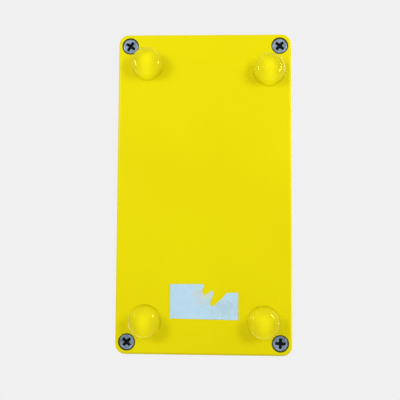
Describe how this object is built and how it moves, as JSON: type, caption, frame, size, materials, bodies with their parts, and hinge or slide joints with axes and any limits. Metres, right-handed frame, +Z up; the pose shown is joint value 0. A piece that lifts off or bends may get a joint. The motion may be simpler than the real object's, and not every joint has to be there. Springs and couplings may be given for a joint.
{
  "type": "pedestrian push button",
  "caption": "Free-standing push-button unit: a flat yellow die-cast case on clear bumper feet, with a domed push button and an indicator lamp in its roof and a cable socket in its end wall.",
  "frame": {"origin": "centre of the footprint, on the surface that the four feet stand on", "axes": "+Z up through the button, +Y along the case's long side towards the lamp and the cable socket, +X across"},
  "size_m": [0.066, 0.1212, 0.0571],
  "materials": {
    "yellow_coat": "powder coat over die-cast aluminium, satin",
    "black_rubber": "matt",
    "zinc_screw": "zinc plated",
    "clear_rubber": "clear polyurethane, glossy",
    "paper": "uncoated paper",
    "black_coat": "fine-textured powder coat over die-cast aluminium",
    "nut_steel": "zinc plated",
    "satin_aluminium": "turned and satin anodised",
    "stem_steel": "ground",
    "bush_bronze": "sintered bronze",
    "spring_steel": "bright drawn",
    "bracket_zinc": "zinc plated sheet",
    "switch_plastic": "moulded",
    "plunger_plastic": "moulded",
    "contact_brass": "tinned brass",
    "red_lens": "translucent polycarbonate",
    "led_epoxy": "diffused epoxy",
    "board_laminate": "solder mask over glass laminate",
    "capacitor_sleeve": "shrink sleeve",
    "resistor_coat": "lacquer",
    "chip_resin": "moulded",
    "connector_nylon": "natural nylon",
    "wire_insulation": "PVC insulation",
    "socket_plastic": "moulded"
  },
  "bodies": {
    "case": {"housing": "yellow_coat", "base_plate": "yellow_coat", "lid_gasket": "black_rubber", "base_screws": "zinc_screw", "foot_1": "clear_rubber", "foot_2": "clear_rubber", "foot_3": "clear_rubber", "foot_4": "clear_rubber", "paper_label": "paper", "bezel": "black_coat", "bezel_gasket": "black_rubber", "bezel_nut": "nut_steel", "stem_bush": "bush_bronze", "stem_seal": "black_rubber", "return_spring": "spring_steel", "switch_bracket": "bracket_zinc", "switch_body": "switch_plastic", "lever_pin": "stem_steel", "switch_terminals": "contact_brass", "switch_screws": "nut_steel", "switch_nuts": "nut_steel", "lamp_bezel": "black_coat", "lamp_lens": "red_lens", "lamp_seal": "black_rubber", "lamp_nut": "nut_steel", "led": "led_epoxy", "circuit_board": "board_laminate", "board_screws": "nut_steel", "board_capacitor": "capacitor_sleeve", "board_resistors": "resistor_coat", "board_chip": "chip_resin", "wire_header": "connector_nylon", "wire_plug": "connector_nylon", "switch_wires": "wire_insulation", "socket_body": "socket_plastic", "socket_contacts": "contact_brass"},
    "button": {"button_cap": "satin_aluminium", "button_stem": "stem_steel", "stem_clip": "stem_steel"},
    "lever": {"switch_lever": "spring_steel"},
    "plunger": {"switch_plunger": "plunger_plastic"}
  },
  "joints": [
    {"name": "button_press", "type": "slide", "parent": "case", "child": "button", "axis": [0, 0, -1], "range_m": [0, 0.003], "stiffness_N_per_m": 1500, "springref_m": -0.004, "deforming": ["return_spring"]},
    {"name": "lever_swing", "type": "hinge", "parent": "case", "child": "lever", "pos_m": [0, -0.031, 0.02474], "axis": [-1, 0, 0], "range_deg": [0, 12.7]},
    {"name": "plunger_press", "type": "slide", "parent": "case", "child": "plunger", "axis": [0, 0, -1], "range_m": [0, 0.00125]}
  ],
  "couplings": [
    {"joint": "lever_swing", "follows": "button_press", "rad_per_m": 73.37},
    {"joint": "plunger_press", "follows": "button_press", "ratio": 0.4078}
  ]
}
